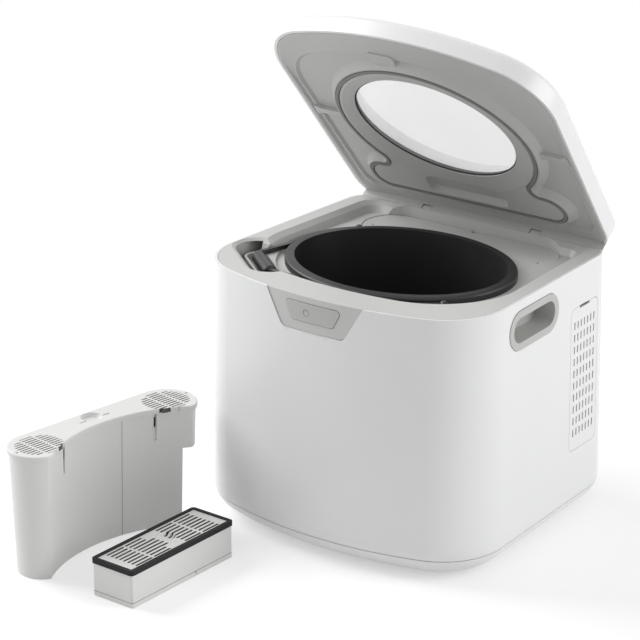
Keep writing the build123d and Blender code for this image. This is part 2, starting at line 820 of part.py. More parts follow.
def make_pinion():
    return Pos(motor_x, bucket_y, gear_low) * gear(pinion_teeth, motor_shaft_radius, 0.5)


def make_motor_shaft():
    return rod(motor_shaft_radius, plate_height - 20, gear_low + gear_thickness + 4, motor_x, bucket_y)


def make_bucket():
    """Oval pan with a rounded floor, a thick rolled rim and two pivot studs for the bail."""
    a, b = wall_a, wall_b
    outer = cone(ellipse(a - bucket_taper, b - bucket_taper, bucket_low), ellipse(a, b, rim_low + 1))
    inner = cone(ellipse(a - bucket_taper - bucket_wall, b - bucket_taper - bucket_wall,
                         bucket_low + bucket_wall),
                 ellipse(a - bucket_wall, b - bucket_wall, rim_top))
    outer = fillet(outer.edges().group_by(Axis.Z)[0], bucket_floor_round)
    inner = fillet(inner.edges().group_by(Axis.Z)[0], bucket_floor_round - bucket_wall)
    rim = along_z(ellipse(rim_a, rim_b), rim_low, rim_top)
    rim = fillet(rim.edges().group_by(Axis.Z)[-1], rim_rounding)
    bucket = outer + rim - inner
    stud = stud_root + bail_gap + bail_width + stud_spare
    for side in (-1, 1):
        place = on_pivot_line(side * (rim_reach() - stud_root + stud / 2))
        bucket += place * Cylinder(pivot_radius, stud)
    bucket += rod(bush_radius + boss_wall, bucket_low, boss_top, 0, bucket_y)
    return bucket - rod(bush_radius, 0, reach, 0, bucket_y)


def make_bucket_bush():
    bush = rod(bush_radius, bucket_low, boss_top, 0, bucket_y)
    return bush - rod(hub_stub_radius + running_gap, 0, reach, 0, bucket_y)


def make_stirring_blade():
    """Hub with a drive socket, two sickle arms near the floor and a finger on each."""
    floor = boss_top + blade_clear / 4
    hub = Pos(0, bucket_y, floor) * Cone(hub_radius, hub_radius * 0.6, hub_height,
                                         align=(Align.CENTER, Align.CENTER, Align.MIN))
    hub = fillet(hub.edges().group_by(Axis.Z)[-1], 3)
    blade = hub + rod(hub_stub_radius, bucket_low - 1, floor, 0, bucket_y)
    low = floor + blade_clear
    for turn in (35, 215):
        spin = Pos(0, bucket_y, low) * Rot(0, 0, turn)
        sickle = make_face(ThreePointArc((6, -5), (0.55 * blade_reach, -16), (blade_reach, 0))
                           + Line((blade_reach, 0), (blade_reach - 6, 5))
                           + ThreePointArc((blade_reach - 6, 5), (0.5 * blade_reach, -7), (6, 6))
                           + Line((6, 6), (6, -5)))
        arm = extrude(sickle, amount=blade_height)
        tip = Pos(blade_reach - 9, -1.5, 0) * Cylinder(4.2, blade_finger,
                                                     align=(Align.CENTER, Align.CENTER, Align.MIN))
        tip = fillet(tip.edges().group_by(Axis.Z)[-1], 3)
        blade += spin * (arm + tip)
    socket = dog_width + 2 * dog_gap
    blade -= block((-socket / 2, socket / 2), (bucket_y - socket / 2, bucket_y + socket / 2),
                   (0, bucket_low + 0.8 * dog_height))
    return blade


def make_bail_handle():
    """Half-oval carrying bail, folded down round the rim, with a core for its grip."""
    a, b = rim_a + bail_gap, rim_b + bail_gap
    ring = ellipse(a + bail_width, b + bail_width) - ellipse(a, b)
    corners = [bail_point(turn) for turn in (bail_leave, (bail_leave + bail_return) / 2, bail_return)]
    rays = [(2 * x, 2 * (y - bucket_y) + bucket_y) for x, y in corners]
    wedge = make_face(Polyline((0, bucket_y), *rays, close=True))
    low, high = pivot_z - bail_width / 2, pivot_z + bail_width / 2
    bail = along_z((ring & bail_side()) - wedge, low, high)
    bail += along_z(bar(bail_point(bail_leave), elbow_left, bail_width), low, high)
    bail += along_z(bar(elbow_right, bail_point(bail_return), bail_width), low, high)
    for x, y in (elbow_left, elbow_right):
        bail += rod(bail_width / 2, grip_z, high, x, y)
    bail += grip_rod(grip_core, 0)
    middle = rim_reach() + bail_gap + bail_width / 2
    for side in (-1, 1):
        bail += on_pivot_line(side * middle) * Cylinder(eye_radius, bail_width)
        bail -= on_pivot_line(side * middle) * Cylinder(pivot_radius + running_gap, 4 * bail_width)
    return bail


def grip_rod(radius, shorten):
    """Cylinder between the two elbows."""
    dx, dy = elbow_right[0] - elbow_left[0], elbow_right[1] - elbow_left[1]
    middle = Pos((elbow_left[0] + elbow_right[0]) / 2, (elbow_left[1] + elbow_right[1]) / 2, grip_z)
    length = sqrt(dx ** 2 + dy ** 2) - 2 * shorten
    return middle * Rot(0, 0, degrees(atan2(dy, dx))) * Rot(0, 90, 0) * Cylinder(radius, length)


def make_bail_grip():
    sleeve = grip_rod(grip_radius, bail_width / 2 + 0.2)
    return fillet(sleeve.edges(), 3) - grip_rod(grip_core, 0)


# ---- filter cover, wells, dock and fan --------------------------------------
def make_filter_cover():
    cover = along_z(crescent(-cover_margin), cover_low, cover_low + cover_thickness)
    cover = chamfer(cover.edges().group_by(Axis.Z)[-1], 0.6)
    for side in (-1, 1):
        cover -= rod(1.6, 0, reach, side * (tank_half - 12), tank_front + 22)
    scoop = Pos(0, tank_rear + cover_margin, cover_low + cover_thickness) * Sphere(7)
    return cover - (scoop & above(cover_low + 0.8))


def make_filter_well():
    low = deck_under - well_ledge + tank_plate - tank_height - fit_gap - well_wall
    well = along_z(crescent(-tank_play - well_wall), deck_under - 2 * well_ledge, deck_under)
    well += along_z(crescent(tank_wall - tank_play - well_wall), low, deck_under)
    well -= along_z(crescent(tank_wall - tank_play), low + well_wall, deck_under + 1)
    return well - along_z(crescent(-tank_play), deck_under - well_ledge, deck_under + 1)


def dock_box(margin, back):
    width = box_width + 2 * (dock_gap + margin)
    height = box_length + 2 * (dock_gap + margin)
    return along_x(Pos(vent_y, vent_z) * Rectangle(width, height), back, body_width)


def make_filter_dock():
    dock = dock_box(dock_wall, dock_back - dock_wall) & tub(wall, seam_height, body_top)
    dock -= dock_box(0, dock_back)
    port = Pos(fan_y, fan_z) * Circle(fan_port)
    return dock - along_x(port, dock_back - 5, dock_back + 1)


def fan_place():
    return Pos(dock_back - dock_wall - fan_depth, fan_y, fan_z) * Rot(0, 90, 0)


def make_fan_frame():
    bore = fan_port + 1
    frame = extrude(RectangleRounded(fan_size, fan_size, 4) - Circle(bore), amount=fan_depth)
    hub = Cylinder(fan_hub - 0.5, 3, align=(Align.CENTER, Align.CENTER, Align.MIN))
    for turn in (45, 135):
        hub += Rot(0, 0, turn) * Pos(0, 0, 1) * Box(2 * bore + 1, 3, 2)
    for x, y in four(fan_size / 2 - 4, fan_size / 2 - 4):
        frame -= Pos(x, y) * Cylinder(1.6, 3 * fan_depth)
    return fan_place() * (frame + hub)


def make_fan_rotor():
    height = 0.6 * fan_depth
    base = (fan_depth - height) * 0.6
    hub = Pos(0, 0, base) * Cylinder(fan_hub, height, align=(Align.CENTER, Align.CENTER, Align.MIN))
    hub = fillet(hub.edges().group_by(Axis.Z)[-1], 2)
    middle = Pos((fan_hub + fan_port) / 2, 0, base + height / 2)
    for blade in range(fan_blades):
        vane = middle * Rot(fan_tilt, 0, 0) * Box(fan_port - fan_hub + 2, height + 2, 1.2)
        hub += Rot(0, 0, blade * 360 / fan_blades) * vane
    return fan_place() * (hub & Cylinder(fan_port, 2 * fan_depth))


# ---- lid --------------------------------------------------------------------
def hinge_bar(gap=0.0):
    """Round hinge edge of the lid and the web that carries it."""
    front = hinge_y - hinge_radius - gap
    web = block((-reach, reach), (front, rear_y), (hinge_z, lid_low + web_lap + gap))
    return (hinge_rod(hinge_radius + gap, 2 * reach) + web) & along_z(outline(), 0, lid_top)


def knuckle_gaps():
    """Slots for the ears of the deck and bores for the pins."""
    slot = knuckle_width + 2 * hinge_gap
    gaps = [hinge_rod(hinge_radius + hinge_gap, slot, x) for x in (-knuckle_x, knuckle_x)]
    gaps += [hinge_rod(pin_radius + running_gap, pin_length + 2, x) for x in (-knuckle_x, knuckle_x)]
    return gaps


def make_lid_shell():
    """White top with a skirt all round, a window opening and the rear hinge bar."""
    shell = along_z(outline(), lid_low, lid_top)
    shell = fillet(shell.edges().group_by(Axis.Z)[-1], lid_crown)
    hollow = along_z(outline(lid_wall), 0, lid_top - lid_wall)
    shell -= fillet(hollow.edges().group_by(Axis.Z)[-1], lid_crown - lid_wall)
    shell += window_funnel(lid_wall - 0.5, pane_top + liner_gap, lid_top - lid_wall)
    shell -= window_funnel(0, pane_top, lid_top + 0.1)
    return shell - hinge_bar(liner_gap)


def window_funnel(thick, low, high):
    """Oval opening of the lid, wider at the top than at the pane."""
    spread = well_spread * (high - low) / (lid_top - pane_top)
    a, b = window_a + 1 + thick, window_b + 1 + thick
    return cone(ellipse(a, b, low, window_y), ellipse(a + spread, b + spread, high, window_y))


def field_face():
    return plan(body_width / 2 - field_side, front_y + field_front, rear_y - field_rear,
                rear_width / 2 - field_side, front_corner - field_side, rear_corner - field_side)


def cove():
    """Shallow hollow from the liner's flat band down to its inner field."""
    inset = lid_wall + liner_gap + edge_band
    band = plan(body_width / 2 - inset, front_y + inset, rear_y - inset, rear_width / 2 - inset,
                front_corner - inset, rear_corner - inset)
    return cone(Pos(0, 0, lid_low) * band, Pos(0, 0, lid_low + cove_rise) * field_face())


def plateau(inset=0.0):
    """Raised middle of the underside: an oval over the bucket with two lobes behind it."""
    oval = ellipse(plateau_a - inset, plateau_b - inset)
    lobes = Pos(0, lobe_y) * SlotOverall(2 * (lobe_reach - inset), lobe_width - 2 * inset)
    face = oval + lobes
    pinch = face.vertices().filter_by(
        lambda v: bucket_y < v.Y < lobe_y and abs(v.X) < lobe_reach - lobe_width / 2 - 1)
    return fillet(pinch, max(lobe_blend + inset, least_round))


def window_ring(grow, low, high):
    return along_z(ellipse(window_a + grow, window_b + grow, y=window_y), low, high)


def exhaust_recess():
    """Sloping recess behind the window, where the warm air is drawn off."""
    face = RectangleRounded(2 * duct_half, duct_high - duct_low, duct_round)
    face = Pos(0, (duct_low + duct_high) / 2) * face
    fall = duct_depth * tan(radians(duct_slope))
    foot = Pos(0, 0, plateau_z + duct_depth) * offset(face, amount=-fall)
    return cone(Pos(0, 0, plateau_z) * face, foot)


def side_rib(side):
    """Rib from the raised middle to the flat edge, flared at its outer end."""
    half, neck = rib_width / 2, rib_end - rib_width
    rib = make_face(Polyline((rib_start, rib_y - half), (neck, rib_y - half),
                             (rib_end, rib_y - rib_width), (rib_end, rib_y + rib_width),
                             (neck, rib_y + half), (rib_start, rib_y + half), close=True))
    rib = fillet(rib.vertices(), rib_width / 4)
    return rib if side > 0 else mirror(rib, about=Plane.YZ)


def make_lid_liner():
    """Grey underside with its raised middle, seal groove, window seat and hinge edge."""
    liner = along_z(outline(lid_wall + liner_gap), lid_low, field_z + liner_skin)
    liner -= cove()
    liner -= extrude(Pos(0, 0, lid_low) * field_face(), amount=field_rise, taper=field_slope)
    liner += cone(Pos(0, 0, plateau_z) * plateau(), Pos(0, 0, field_z + 0.1) * plateau(-plateau_foot))
    liner += window_ring(pane_lap + fit_gap + pane_seat, field_z, pane_top)
    liner -= cone(ellipse(plateau_a - ring_inset, plateau_b - ring_inset, plateau_z - 0.1),
                  ellipse(window_a, window_b, sill_z - sill_lip, window_y))
    liner -= window_ring(0, sill_z - sill_lip - 0.1, sill_z + 1)
    liner -= window_ring(pane_lap + fit_gap, sill_z, lid_top)
    liner -= along_z(seal_path(seal_groove), plateau_z - 1, plateau_z + seal_height - seal_proud)
    liner -= exhaust_recess()
    boss = Pos(latch_x, latch_y) * RectangleRounded(latch_width, latch_length, 5)
    for bump in (-2, 0, 2):
        boss += Pos(latch_x + bump * latch_bump, latch_y + latch_length / 2) * Circle(latch_bump)
    for face in (boss, side_rib(-1), side_rib(1)):
        liner += along_z(face, tab_z, field_z + 0.1)
    return liner + hinge_bar() - knuckle_gaps()


def seal_path(grow=0.0):
    """Band of the seal, a little inside the edge of the raised middle."""
    return plateau(seal_inset - grow) - plateau(seal_inset + seal_width + grow)


def make_lid_seal():
    low = plateau_z - seal_proud
    return along_z(seal_path(), low, low + seal_height)


def make_window_gasket():
    ring = window_ring(pane_lap, sill_z, pane_low)
    return ring - window_ring(0.6, sill_z - 1, pane_low + 1)


def make_lid_window():
    pane = window_ring(pane_lap, pane_low, pane_top)
    return chamfer(pane.edges().group_by(Axis.Z)[-1], 0.8)


def opened(piece):
    """Turn a piece of the shut lid to its resting angle about the hinge line."""
    return Pos(0, hinge_y, hinge_z) * Rot(-lid_open, 0, 0) * Pos(0, -hinge_y, -hinge_z) * piece


# ---- crescent filter tank, drawn where it works and then stood beside the machine 
def stand_tank(piece):
    return Pos(*tank_place, 0) * Rot(0, 0, tank_turn) * Pos(0, -tank_middle, 0) * piece


def make_tank_body():
    top = tank_height - tank_plate
    outer = cone(crescent(tank_wall + tank_taper), Pos(0, 0, top) * crescent(tank_wall))
    step = block((tank_half - tank_step_length, reach), (0, reach), (-1, tank_step_height))
    outer -= step
    inner = cone(Pos(0, 0, tank_wall) * crescent(2 * tank_wall + tank_taper),
                 Pos(0, 0, top + 1) * crescent(2 * tank_wall))
    inner -= block((tank_half - tank_step_length - tank_wall, reach), (0, reach),
                   (-1, tank_step_height + tank_wall))
    tank = outer - inner
    shell_band = along_z(crescent(-1) - crescent(2 * tank_wall + 0.5), 0, top + 2)
    for x in (-tank_slot_x, tank_slot_x):
        slot = block((x - tank_slot_width / 2, x + tank_slot_width / 2), (0, tank_middle),
                     (top - tank_slot_height, top + 1))
        tank -= slot & shell_band
    return tank


def grille_slots(radius, rows, width, gap, length_pitch):
    """Slots of a round grille: rows clipped to a circle and parted by two ribs."""
    slots = []
    for row in range(rows):
        y = (row - (rows - 1) / 2) * (width + gap)
        half = sqrt(max(radius ** 2 - y ** 2, 0))
        for part in (-1, 0, 1):
            low = max(-half, part * length_pitch - length_pitch / 2 + 1)
            high = min(half, part * length_pitch + length_pitch / 2 - 1)
            if high - low > 3:
                slots.append(Pos((low + high) / 2, y) * Rectangle(high - low, width))
    return slots


def make_tank_lid():
    low = tank_height - tank_plate
    plate = along_z(crescent(0), low, tank_height)
    plate = fillet(plate.edges().group_by(Axis.Z)[-1], 1.5)
    inner = 2 * tank_wall + tank_lap_gap
    plate += along_z(crescent(inner) - crescent(inner + tank_lap), low - tank_skirt, low)
    for side in (-1, 1):
        for slot in grille_slots(grille_radius, grille_rows, grille_slot, grille_bar, grille_length):
            plate -= along_z(Pos(side * lobe_x, tank_middle) * slot, low - 1, reach)
        plate -= rod(tank_screw, tank_height - 1.5, reach, side * (tank_half - tank_screw_inset),
                     tank_middle)
    middle = (tank_rear + rim_b + tank_clear + bucket_y) / 2
    cup = Pos(0, middle + tank_cup / 4, tank_height + tank_cup / 3) * Sphere(tank_cup)
    plate -= cup & above(low + 1)
    for side in (-1, 1):
        plate -= along_z(Pos(side * 15, middle - 2) * SlotOverall(9, 1.8), low - 1, reach)
    return plate


def make_tank_carbon():
    inset = 2 * tank_wall + carbon_gap
    top = tank_height - tank_plate - tank_skirt - 1
    foot = Pos(0, 0, tank_wall) * crescent(inset + tank_taper)
    carbon = cone(foot, Pos(0, 0, top) * crescent(inset))
    return carbon - block((tank_half - tank_step_length - 2 * tank_wall, reach), (0, reach),
                          (-1, tank_step_height + 2 * tank_wall))


# ---- side filter box, lying beside the machine ------------------------------
def stand_box(piece):
    return Pos(*box_place, 0) * Rot(0, 0, box_turn) * piece


def box_plan(inset):
    corner = max(box_corner + box_inset - inset, 1)
    return RectangleRounded(box_length - 2 * inset, box_width - 2 * inset, corner)


def make_box_base():
    base = along_z(box_plan(box_inset), 0, box_base)
    return base - block((18, 19.5), (-box_width, -box_width / 2 + 3), (box_base - 3, box_base + 1))


def make_box_body():
    walls = box_plan(box_inset) - box_plan(box_inset + box_skin)
    return along_z(walls, box_base, box_height - gasket_height)


def make_box_gasket():
    band = box_plan(0) - box_plan(gasket_band)
    return along_z(band, box_height - gasket_height, box_height)


def make_box_grille():
    """Plate with blocks of long slots, a finger hollow and short slots between them."""
    low, top = box_height - gasket_height, box_height - grille_sink
    grille = along_z(box_plan(gasket_band), low, top)
    for column in range(box_blocks):
        place = column - (box_blocks - 1) / 2
        middle = place * (box_block + box_rib) + copysign(box_middle + box_rib / 2, place)
        for row in range(box_rows):
            y = (row - (box_rows - 1) / 2) * (box_slot + box_bar)
            grille -= along_z(Pos(middle, y) * Rectangle(box_block, box_slot), 0, reach)
    cup = Pos(box_middle, box_rib, top + box_cup / 2) * Sphere(box_cup)
    grille -= cup & above(low + 1)
    for row in range(box_rows // 2):
        y = (row - (box_rows // 2 - 1) / 2) * (box_slot + box_rib)
        grille -= along_z(Pos(-box_middle + 1, y) * Rectangle(box_middle, box_slot), 0, reach)
    return grille


def make_box_carbon():
    face = box_plan(box_inset + box_skin + carbon_gap)
    return along_z(face, box_base, box_height - gasket_height - 1)


# ---- all pieces -------------------------------------------------------------
def make_pieces():
    whole_shell = full_shell()
    pieces = {
        "outer_shell": make_outer_shell(whole_shell),
        "base_pan": make_base_pan(whole_shell),
        "rubber_feet": make_rubber_feet(),
        "base_screws": make_base_screws(),
        "top_deck": make_top_deck(),
        "hinge_pins": make_hinge_pins(),
        "hand_hold_left": make_hand_hold(-1),
        "hand_hold_right": make_hand_hold(1),
        "vent_cover": make_vent_cover(),
        "power_inlet": make_power_inlet(),
        "control_board": make_control_board(),
        "power_switch": make_power_switch(),
        "power_button": make_power_button(),
        "bucket_well": make_bucket_well(),
        "heater_plate": make_heater_plate(),
        "heater_element": make_heater_element(),
        "chassis_plate": make_chassis_plate(),
        "plate_screws": make_plate_screws(),
        "gear_motor": make_gear_motor(),
        "plate_bearing": make_plate_bearing(),
        "well_seal": make_well_seal(),
        "drive_shaft": make_drive_shaft(),
        "drive_dog": make_drive_dog(),
        "output_gear": make_output_gear(),
        "motor_pinion": make_pinion(),
        "motor_shaft": make_motor_shaft(),
        "bucket": make_bucket(),
        "bucket_bush": make_bucket_bush(),
        "stirring_blade": make_stirring_blade(),
        "bail_handle": make_bail_handle(),
        "bail_grip": make_bail_grip(),
        "filter_cover": make_filter_cover(),
        "filter_well": make_filter_well(),
        "filter_dock": make_filter_dock(),
        "fan_frame": make_fan_frame(),
        "fan_rotor": make_fan_rotor(),
        "lid_shell": opened(make_lid_shell()),
        "lid_liner": opened(make_lid_liner()),
        "lid_seal": opened(make_lid_seal()),
        "window_gasket": opened(make_window_gasket()),
        "lid_window": opened(make_lid_window()),
        "tank_body": stand_tank(make_tank_body()),
        "tank_lid": stand_tank(make_tank_lid()),
        "tank_carbon": stand_tank(make_tank_carbon()),
        "box_base": stand_box(make_box_base()),
        "box_body": stand_box(make_box_body()),
        "box_gasket": stand_box(make_box_gasket()),
        "box_grille": stand_box(make_box_grille()),
        "box_carbon": stand_box(make_box_carbon()),
    }
    return pieces


os.makedirs("parts", exist_ok=True)
for name, piece in make_pieces().items():
    export_step(piece, os.path.join("parts", name + ".step"))
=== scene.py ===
import bpy
import json
from math import cos, pi, radians, sin
from mathutils import Matrix, Vector


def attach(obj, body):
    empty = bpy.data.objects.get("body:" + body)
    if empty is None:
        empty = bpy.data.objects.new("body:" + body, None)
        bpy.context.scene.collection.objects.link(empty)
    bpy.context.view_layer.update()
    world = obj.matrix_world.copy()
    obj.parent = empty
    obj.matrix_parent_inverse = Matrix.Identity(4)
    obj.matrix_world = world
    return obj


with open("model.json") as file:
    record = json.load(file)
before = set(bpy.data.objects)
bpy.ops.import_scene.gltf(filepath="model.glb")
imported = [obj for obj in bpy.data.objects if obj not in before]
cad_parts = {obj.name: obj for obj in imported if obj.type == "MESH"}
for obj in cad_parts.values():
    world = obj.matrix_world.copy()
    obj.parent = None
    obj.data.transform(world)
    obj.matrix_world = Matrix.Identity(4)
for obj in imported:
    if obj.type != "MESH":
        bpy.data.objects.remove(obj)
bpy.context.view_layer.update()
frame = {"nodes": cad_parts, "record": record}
nodes = frame["nodes"]


# ---- camera, floor and light -------------------------------------------------------
AZIMUTH, ELEVATION = radians(36.70), radians(20.69)
CAMERA_PLACE = (1.5971, -2.2823, 1.2610)
LENS, FILM_WIDTH, SIGHT_END = 163.52, 36.0, 50.0
LAMP_AIM = (-0.05, -0.05, 0.15)
ROOM_LIGHT = 0.42                     # strength of the plain white room
FLOOR_SHADE, FLOOR_GLOW = 0.62, 0.46  # lit part of the floor's white and the rest of it
FLOOR_NEAR, FLOOR_FAR = 0.75, 1.6     # where the floor turns into the white backdrop
FLOOR_SIZE = 40.0


def make_camera():
    data = bpy.data.cameras.new("camera")
    data.lens = LENS
    data.sensor_width = FILM_WIDTH
    data.clip_end = SIGHT_END
    camera = bpy.data.objects.new("camera", data)
    bpy.context.scene.collection.objects.link(camera)
    back = Vector((sin(AZIMUTH) * cos(ELEVATION), -cos(AZIMUTH) * cos(ELEVATION), sin(ELEVATION)))
    camera.location = CAMERA_PLACE
    camera.rotation_mode = "QUATERNION"
    camera.rotation_quaternion = (-back).to_track_quat("-Z", "Y")
    bpy.context.scene.camera = camera


def softbox(name, turn, rise, distance, size, share):
    """Soft lamp that looks at the machine; share is what it adds to a white card facing it."""
    data = bpy.data.lights.new(name, "AREA")
    data.shape = "RECTANGLE"
    data.size, data.size_y = size
    data.energy = share * (pi * distance) ** 2
    lamp = bpy.data.objects.new(name, data)
    bpy.context.scene.collection.objects.link(lamp)
    turn, rise = radians(turn), radians(rise)
    away = Vector((sin(turn) * cos(rise), -cos(turn) * cos(rise), sin(rise)))
    lamp.location = Vector(LAMP_AIM) + distance * away
    lamp.rotation_mode = "QUATERNION"
    lamp.rotation_quaternion = (-away).to_track_quat("-Z", "Y")


def make_studio():
    softbox("left_softbox", -80, 34, 3.0, (1.6, 2.2), 0.80)
    softbox("right_softbox", 112, 22, 3.0, (1.5, 2.0), 0.40)
    softbox("top_softbox", 20, 84, 2.6, (2.0, 2.0), 0.08)


# ---- finishes ----------------------------------------------------------------------------
class Amount:
    """A number that changes over a surface, with Python's own arithmetic."""

    def __init__(self, finish, socket):
        self.finish, self.socket = finish, socket

    def maths(self, operation, *values):
        return self.finish.node("ShaderNodeMath", {"operation": operation}, dict(enumerate(values)))

    def __add__(self, other):
        return self.maths("ADD", self, other)

    def __radd__(self, other):
        return self.maths("ADD", other, self)

    def __sub__(self, other):
        return self.maths("SUBTRACT", self, other)

    def __rsub__(self, other):
        return self.maths("SUBTRACT", other, self)

    def __mul__(self, other):
        return self.maths("MULTIPLY", self, other)

    def __rmul__(self, other):
        return self.maths("MULTIPLY", other, self)

    def __abs__(self):
        return self.maths("ABSOLUTE", self)

    def over(self, edge):
        return self.maths("GREATER_THAN", self, edge)

    def under(self, edge):
        return self.maths("LESS_THAN", self, edge)

    def near(self, place, half):
        """1 where the value is within half of a place."""
        return abs(self - place).under(half)


class Shading:
    """Nodes of a finish or of the studio's surroundings."""

    def __init__(self, tree):
        self.tree = tree

    def node(self, kind, settings, inputs, output=0):
        node = self.tree.nodes.new(kind)
        for key, value in settings.items():
            setattr(node, key, value)
        for key, value in inputs.items():
            self.feed(node.inputs[key], value)
        return Amount(self, node.outputs[output])

    def feed(self, socket, value):
        if isinstance(value, Amount):
            self.tree.links.new(value.socket, socket)
        elif value is not None:
            socket.default_value = value

    def seen(self):
        """1 for what the camera, a reflection or the clear window looks at."""
        rays = [self.node("ShaderNodeLightPath", {}, {}, kind)
                for kind in ("Is Camera Ray", "Is Glossy Ray", "Is Transmission Ray")]
        return rays[0].maths("MAXIMUM", rays[0].maths("MAXIMUM", rays[0], rays[1]), rays[2])


class Finish(Shading):
    """A procedural finish; its colour, roughness and bump vary over the piece."""

    def __init__(self, name):
        self.material = bpy.data.materials.new(name)
        self.material.use_nodes = True
        super().__init__(self.material.node_tree)
        self.shader = next(n for n in self.tree.nodes if n.type == "BSDF_PRINCIPLED")
        self.place = self.node("ShaderNodeTexCoord", {}, {}, "Object")

    def set(self, **sockets):
        for key, value in sockets.items():
            self.feed(self.shader.inputs[key.replace("_", " ")], value)
        return self

    def along(self, middle=(0.0, 0.0), turn=0.0):
        """Distances along, across and up, from a middle and a turn seen from above."""
        place = self.node("ShaderNodeMapping", {"vector_type": "TEXTURE"},
                          {"Vector": self.place, "Location": (*middle, 0.0),
                           "Rotation": (0.0, 0.0, radians(turn))})
        split = self.node("ShaderNodeSeparateXYZ", {}, {"Vector": place}, "X")
        return [Amount(self, socket) for socket in split.socket.node.outputs]

    def noise(self, scale, detail=3.0, roughness=0.5, stretch=None):
        place = self.place
        if stretch is not None:
            place = self.node("ShaderNodeMapping", {}, {"Vector": place, "Scale": stretch})
        return self.node("ShaderNodeTexNoise", {},
                         {"Vector": place, "Scale": scale, "Detail": detail, "Roughness": roughness},
                         "Fac")

    def blend(self, amount, first, second):
        return self.node("ShaderNodeMix", {"data_type": "RGBA"},
                         {"Factor": amount, 6: (*first, 1.0) if isinstance(first, tuple) else first,
                          7: (*second, 1.0) if isinstance(second, tuple) else second}, 2)

    def bump(self, height, depth, edge=0.0):
        """Fine relief, on edges that are softened by a small radius."""
        inputs = {"Height": height, "Distance": depth}
        if edge:
            inputs["Normal"] = self.node("ShaderNodeBevel", {"samples": 4}, {"Radius": edge}, "Normal")
        return self.node("ShaderNodeBump", {}, inputs, "Normal")


def moulded(name, colour, roughness, grain=900.0, depth=0.00002, coat=0.0, edge=0.0006,
            hollow=None, line=None):
    """Injection-moulded plastic: fine grain, faint flow marks in the colour and the gloss.

    hollow and line take the finish and give where it is deep in a slot, painted dark
    as shade, and where a parting line runs, darkened as a joint.
    """
    finish = Finish(name)
    flow = finish.noise(9.0, 2.0)
    fine = finish.noise(grain, 2.0)
    darker = tuple((1.0 - FLOW_SHARE) * c for c in colour)
    lighter = tuple(min(1.0, (1.0 + FLOW_SHARE) * c) for c in colour)
    shade = finish.blend(flow, darker, lighter)
    height = fine
    if hollow:
        # painted shade: the deep part of a slot turns dark
        shade = finish.blend(SLOT_SHADE_SHARE * hollow(finish), shade, SHADE_AND_JOINT_DARK)
    if line:
        seam = line(finish)
        shade = finish.blend(LINE_SHARE * seam, shade, SHADE_AND_JOINT_DARK)
        height = fine - LINE_GRAINS * seam
    finish.set(Base_Color=shade, Roughness=roughness + 0.12 * (flow - 0.5),
               Normal=finish.bump(height, depth, edge))
    finish.set(Coat_Weight=coat, Coat_Roughness=0.25, IOR=1.5)
    return finish.material


def rubber(name, colour=(0.013, 0.013, 0.014)):
    finish = Finish(name)
    dust = finish.noise(60.0, 4.0)
    fine = finish.noise(1500.0, 2.0)
    finish.set(Base_Color=finish.blend(dust, colour, tuple(1.5 * c for c in colour)),
               Roughness=0.62 + 0.2 * dust, Normal=finish.bump(fine, 0.00003, 0.0005))
    finish.set(Specular_IOR_Level=0.3)
    return finish.material


def brushed(name, colour, roughness=0.3, stretch=(1, 1, 40)):
    finish = Finish(name)
    lines = finish.noise(260.0, 2.0, 0.6, stretch)
    finish.set(Base_Color=finish.blend(lines, tuple(0.85 * c for c in colour), colour), Metallic=1.0,
               Roughness=roughness + 0.15 * (lines - 0.5), Normal=finish.bump(lines, 0.00001))
    return finish.material


def non_stick(name):
    """Black fluoropolymer coat with a fine pale fleck."""
    finish = Finish(name)
    fleck = finish.noise(2600.0, 1.0)
    cloud = finish.noise(30.0, 3.0)
    specks = fleck.over(0.70) * 0.25
    finish.set(Base_Color=finish.blend(specks, (0.016, 0.016, 0.017), (0.10, 0.10, 0.10)),
               Roughness=0.36 + 0.14 * cloud, Normal=finish.bump(fleck, 0.00002), IOR=1.45)
    return finish.material


def clear_window(name):
    finish = Finish(name)
    smear = finish.noise(14.0, 4.0)
    finish.set(Base_Color=finish.blend(smear, (0.90, 0.92, 0.92), (0.97, 0.98, 0.98)),
               Roughness=0.03 + 0.04 * smear, Alpha=0.16 + 0.04 * smear, IOR=1.5)
    return finish.material


def granules(name):
    finish = Finish(name)
    grain = finish.node("ShaderNodeTexVoronoi", {}, {"Vector": finish.place, "Scale": 420.0},
                        "Distance")
    finish.set(Base_Color=finish.blend(grain, (0.012, 0.012, 0.012), (0.05, 0.05, 0.05)),
               Roughness=0.9 - 0.2 * grain, Normal=finish.bump(grain, 0.0006))
    return finish.material


def tank_slot_shade(finish):
    """Inside the slots of the two round grilles, where shade is painted dark."""
    x, y, z = finish.along(TANK_PLACE, TANK_TURN)
    off = abs(x) - LOBE_X
    inside = (off * off + y * y).under(GRILLE_RADIUS ** 2)
    return inside * z.under(TANK_TOP - SLOT_LIP) * y.over(TANK_WALL)


def tank_line(finish):
    """Parting line down the hollow side of the tank's body."""
    x, y, z = finish.along(TANK_PLACE, TANK_TURN)
    return x.near(TANK_LINE_X, TANK_LINE_HALF) * y.under(TANK_LINE_SIDE)


def box_slot_shade(finish):
    """Inside the slots of the box's grille, not in its finger hollow, where shade is painted dark."""
    x, y, z = finish.along(BOX_PLACE, BOX_TURN)
    dx, dy = x - BOX_CUP[0], y - BOX_CUP[1]
    return z.under(BOX_GRILLE_TOP - BOX_SLOT_LIP) * (dx * dx + dy * dy).over(BOX_CUP_RADIUS ** 2)


def box_line(finish):
    """Joint between the box and its base."""
    x, y, z = finish.along(BOX_PLACE, BOX_TURN)
    return z.near(BOX_BASE_TOP, BOX_LINE_HALF)


def shell_line(finish):
    """Joint between the case and its base pan."""
    x, y, z = finish.along()
    return z.near(CASE_JOINT, CASE_LINE_HALF)
